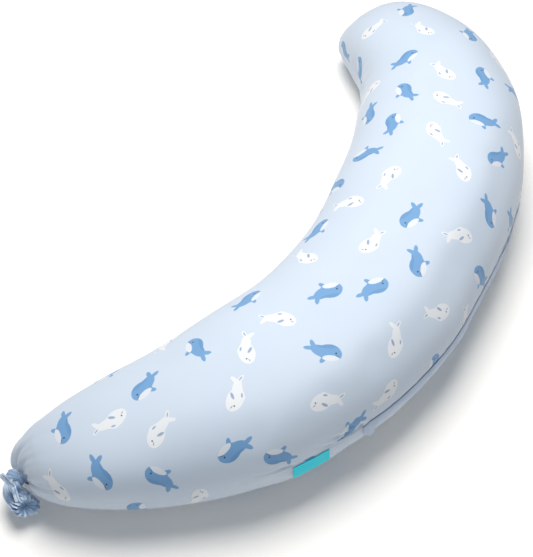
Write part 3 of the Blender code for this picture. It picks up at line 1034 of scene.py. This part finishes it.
BUMP_DEPTH = 0.0003
WOBBLE = (0.05, 0.05, 0.0)
GROUND = (0.610, 0.676, 0.762, 1.0)
GROUND_DEEP = (0.505, 0.588, 0.700, 1.0)
BLUE = (0.140, 0.320, 0.575, 1.0)
BLUE_DEEP = (0.085, 0.225, 0.450, 1.0)
WHITE = (0.780, 0.785, 0.795, 1.0)
GREY_BLUE = (0.230, 0.320, 0.490, 1.0)
DARK = (0.030, 0.045, 0.090, 1.0)
TEAL = (0.040, 0.760, 0.880, 1.0)
TEAL_DEEP = (0.030, 0.650, 0.780, 1.0)
TEAL_PALE = (0.300, 0.720, 0.800, 1.0)
LILAC = (0.545, 0.620, 0.770, 1.0)
# The ties' painted shade and painted light, mixed by each point's painted fold shading
TIE_PAINTED_SHADE = (0.190, 0.320, 0.520, 1.0)
TIE_PAINTED_LIGHT = (0.660, 0.750, 0.850, 1.0)
TIE_DEEP = (0.150, 0.290, 0.500, 1.0)


def knit_height(nodes, place):
    """Fine jersey ribs with a little irregularity."""
    ribs = nodes.wave(place, 330.0, "Y", 0.6)
    courses = nodes.wave(place, 260.0, "X", 0.6)
    fuzz = nodes.noise(place, 2600.0, 2.0, 0.6)
    both = nodes.maths("ADD", ribs, nodes.maths("MULTIPLY", courses, 0.6))
    return nodes.maths("ADD", both, nodes.maths("MULTIPLY", fuzz, 0.8))


def cloth_ground(nodes, light, deep):
    """A ground colour with soft cloudy variation and fine melange."""
    place = nodes.object_place()
    cloudy = nodes.noise(place, 9.0, 3.0, 0.55)
    fine = nodes.noise(place, 900.0, 2.0, 0.7)
    share = nodes.maths("MULTIPLY", nodes.maths("ADD", cloudy, nodes.maths("MULTIPLY", fine, 0.5)), 0.45)
    return nodes.mix(share, light, deep)


# The two whales, nose to the left, drawn with ellipses in shares of a motif's half length
BLUE_WHALE = {
    # shape: how far its ellipses melt together, and x, y, half length, half height, turn_deg of each
    "body": (0.20, [(-0.30, 0.00, 0.60, 0.47, 0), (0.26, 0.04, 0.44, 0.29, 12)]),
    "tail": (0.06, [(0.62, 0.34, 0.27, 0.120, 62), (0.80, 0.10, 0.26, 0.115, -4)]),
    "fin": (0.0, [(0.00, -0.42, 0.25, 0.120, -56)]),
    "belly": (0.0, [(-0.40, -0.33, 0.46, 0.21, -4)]),
    "back": (0.0, [(-0.10, 0.38, 0.55, 0.16, -6)]),
    "eye": (0.0, [(-0.60, 0.02, 0.040, 0.052, 0)]),
    "mouth": (0.0, [(-0.68, -0.12, 0.080, 0.020, 24)]),
}
WHITE_WHALE = {
    "body": (0.18, [(-0.26, 0.02, 0.62, 0.42, 6), (0.34, -0.05, 0.44, 0.24, -12)]),
    "tail": (0.06, [(0.72, -0.32, 0.25, 0.110, -60), (0.86, -0.05, 0.24, 0.105, 18)]),
    "fin": (0.0, [(-0.10, 0.34, 0.18, 0.12, 20)]),
    "flippers": (0.0, [
        (-0.12, -0.16, 0.19, 0.072, -38), (0.04, 0.28, 0.12, 0.045, -20), (0.88, -0.05, 0.13, 0.040, 18),
    ]),
    "eye": (0.0, [(-0.58, 0.08, 0.036, 0.046, 0)]),
    "mouth": (0.0, [(-0.68, -0.04, 0.070, 0.018, 20)]),
}


def drawn(nodes, place, whale):
    """The node socket of each shape of a whale."""
    return {
        shape: nodes.all_of([nodes.ellipse(place, *row) for row in rows], blend)
        for shape, (blend, rows) in whale.items()
    }


def printed_cloth():
    """The cover: pale blue jersey with a print of blue and white whales."""
    nodes = Nodes("printed_jersey")
    place = nodes.uv("motif")
    kind = nodes.attribute("motif_kind")
    wobble = nodes.add("ShaderNodeTexNoise", {"Vector": place, "Scale": 3.0})["Color"]
    shifted = {0: wobble, 1: WOBBLE, 2: place}
    place = nodes.add("ShaderNodeVectorMath", shifted, operation="MULTIPLY_ADD")[0]
    colour = cloth_ground(nodes, GROUND, GROUND_DEEP)

    blue = drawn(nodes, place, BLUE_WHALE)
    blue_whole = nodes.all_of([blue["body"], blue["tail"], blue["fin"]], 0.08)
    blue_belly = nodes.maths("MINIMUM", blue["belly"], blue["body"])
    blue_back = nodes.maths("MINIMUM", blue["back"], blue["body"])
    white = drawn(nodes, place, WHITE_WHALE)
    white_whole = nodes.all_of([white["body"], white["tail"], white["fin"]], 0.07)
    is_white = nodes.maths("GREATER_THAN", kind, 0.5)
    is_blue = nodes.maths("SUBTRACT", 1.0, is_white)
    layers = [
        (blue_whole, BLUE, is_blue, 0.93),
        (blue_back, BLUE_DEEP, is_blue, 0.35),
        (blue_belly, WHITE, is_blue, 0.85),
        (blue["eye"], DARK, is_blue, 1.0),
        (blue["mouth"], DARK, is_blue, 0.8),
        (white_whole, WHITE, is_white, 0.9),
        (white["flippers"], GREY_BLUE, is_white, 0.85),
        (white["eye"], DARK, is_white, 1.0),
        (white["mouth"], DARK, is_white, 0.8),
    ]
    for shape, paint, chosen, strength in layers:
        share = nodes.maths("MULTIPLY", nodes.mask(shape), chosen)
        colour = nodes.mix(nodes.maths("MULTIPLY", share, strength), colour, paint)
    height = knit_height(nodes, nodes.uv("cloth"))
    return nodes.finish(colour, 0.62, height, 0.12, sheen=0.25, sheen_roughness=0.4)


def weave_height(nodes):
    """Fine fuzzy weave from the object's own space."""
    place = nodes.object_place()
    fuzz = nodes.noise(place, 1700.0, 2.0, 0.6)
    return nodes.maths("ADD", fuzz, nodes.wave(place, 300.0, "DIAGONAL", 1.5))


def tie_cloth():
    """The gathered jersey of the ties, mixed between painted shade and painted light by each point's painted
    fold shading, with deeper blue patches of the folded-up print.
    """
    nodes = Nodes("tie_jersey")
    # Painted shade in the pleats' valleys and painted light on their crests
    colour = nodes.mix(nodes.attribute("painted_fold_shade"), TIE_PAINTED_SHADE, TIE_PAINTED_LIGHT)
    patches = nodes.mask(nodes.noise(nodes.object_place(), 46.0), 0.53, 0.60)
    colour = nodes.mix(nodes.maths("MULTIPLY", patches, 0.55), colour, TIE_DEEP)
    return nodes.finish(colour, 0.75, weave_height(nodes), 0.3, sheen=0.2, sheen_roughness=0.45)


def placket_cloth():
    """The placket's plain jersey."""
    nodes = Nodes("placket_jersey")
    colour = cloth_ground(nodes, LILAC, GROUND_DEEP)
    return nodes.finish(colour, 0.84, weave_height(nodes), 0.2, sheen=0.2, sheen_roughness=0.45)


def tape_cloth():
    """Teal woven tape: a fine twill with a slightly paler selvedge line along each edge."""
    nodes = Nodes("teal_tape")
    down = nodes.add("ShaderNodeSeparateXYZ", {0: nodes.uv("tape")})["Y"]
    from_middle = nodes.maths("ABSOLUTE", nodes.maths("SUBTRACT", down, 0.5))
    from_line = nodes.maths("ABSOLUTE", nodes.maths("SUBTRACT", from_middle, 0.40))
    line = nodes.mask(nodes.maths("SUBTRACT", 0.018, from_line), -0.008, 0.008)
    mottled = nodes.noise(nodes.object_place(), 420.0, 3.0, 0.6)
    colour = nodes.mix(nodes.maths("MULTIPLY", mottled, 0.55), TEAL, TEAL_DEEP)
    colour = nodes.mix(nodes.maths("MULTIPLY", line, 0.30), colour, TEAL_PALE)
    twill = nodes.wave(nodes.object_place(), 520.0, "DIAGONAL", 0.4)
    return nodes.finish(colour, 0.55, twill, 0.25, sheen=0.1, sheen_roughness=0.5)


def tape_coordinates(made, rings):
    """Shares along and down the tape, for its selvedge lines."""
    rows, columns = rings.shape[:2]
    half = columns // 2
    down = np.concatenate([np.linspace(0, 1, half), np.linspace(1, 0, half)])
    vertex = np.minimum(values_of(made.data.loops, "vertex_index", 1, int), rows * columns - 1)
    uv = np.stack([(vertex // columns) / (rows - 1), down[vertex % columns]], -1)
    made.data.uv_layers.new(name="tape").data.foreach_set("uv", uv.ravel())


# Stage

def camera():
    """A camera at the photo's viewing angle."""
    data = bpy.data.cameras.new("camera")
    data.lens = CAMERA_LENS_MM
    data.sensor_width = 36.0
    made = linked("camera", data)
    turned = (
        Matrix.Rotation(math.radians(CAMERA_AZIMUTH_DEG), 4, "Z")
        @ Matrix.Rotation(math.radians(90.0 - CAMERA_ELEVATION_DEG), 4, "X")
        @ Matrix.Rotation(math.radians(CAMERA_ROLL_DEG), 4, "Z")
    )
    aim = Matrix.Translation((CAMERA_AIM[0] + SHIFT[0], CAMERA_AIM[1] + SHIFT[1], 0.0))
    made.matrix_world = aim @ turned @ Matrix.Translation((0.0, 0.0, CAMERA_DISTANCE))
    bpy.context.scene.camera = made


def area_light(name, place, aim, size, power, colour):
    """A round soft light at a place, turned towards its aim."""
    data = bpy.data.lights.new(name, "AREA")
    data.shape = "DISK"
    data.size = size
    data.energy = power
    data.color = colour
    made = linked(name, data)
    made.location = place
    made.rotation_euler = (Vector(aim) - Vector(place)).to_track_quat("-Z", "Y").to_euler()


# The floor is a faintly lit table, as under a product photo, which keeps the shadows pale
FLOOR_CORNERS = [(-9, -9, 0), (9, -9, 0), (9, 9, 0), (-9, 9, 0)]
FLOOR_LOOK = {
    "Base Color": (0.98, 0.95, 0.91, 1.0),
    "Emission Color": (1.0, 1.0, 1.0, 1.0),
    "Emission Strength": 0.05,
    "Roughness": 0.95,
    "Specular IOR Level": 0.0,
}
LIGHTS = [
    # name, place, aim, size, power, colour
    ("softbox", (0.33, 0.36, 2.6), (0.0, 0.0, 0.1), 1.8, 79.0, (1.0, 0.985, 0.965)),
    ("fill", (-2.6, -1.4, 0.8), (0.0, 0.0, 0.16), 1.4, 7.0, (0.84, 0.92, 1.0)),
]
DOME_COLOUR = (0.80, 0.90, 1.0, 1.0)
DOME_STRENGTH = 0.24


def stage():
    """Plain pale floor and soft studio light: a large softbox above, a low fill and a pale dome."""
    floor = made_mesh("floor", FLOOR_CORNERS, [(0, 1, 2, 3)])
    nodes = Nodes("floor_paper")
    nodes.fill(nodes.shader, FLOOR_LOOK)
    floor.data.materials.append(nodes.material)
    for light in LIGHTS:
        area_light(*light)
    world = bpy.data.worlds.new("studio")
    world.use_nodes = True
    background = world.node_tree.nodes["Background"]
    background.inputs["Color"].default_value = DOME_COLOUR
    background.inputs["Strength"].default_value = DOME_STRENGTH
    bpy.context.scene.world = world
    bpy.context.scene.view_settings.view_transform = "Standard"


def main():
    camera()
    stage()
    made, grid = cover()
    print_coordinates(made, grid)
    cloth_coordinates(made, grid)
    made.data.materials.append(printed_cloth())
    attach(made, "root")
    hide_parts("pillow")

    strip, rings = placket(grid)
    strip.data.materials.append(placket_cloth())
    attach(strip, "root")
    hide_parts("zip_placket")

    tape, rings = tab(grid)
    tape_coordinates(tape, rings)
    tape.data.materials.append(tape_cloth())
    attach(tape, "root")
    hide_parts("seam_tab")

    tie_material = tie_cloth()
    for which, node, pleats in (("near", "end_knot_near", NEAR_PLEATS), ("far", "end_knot_far", FAR_PLEATS)):
        knot = tie("tie_" + which, which, pleats)
        knot.data.materials.append(tie_material)
        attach(knot, "root")
        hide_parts(node)


main()
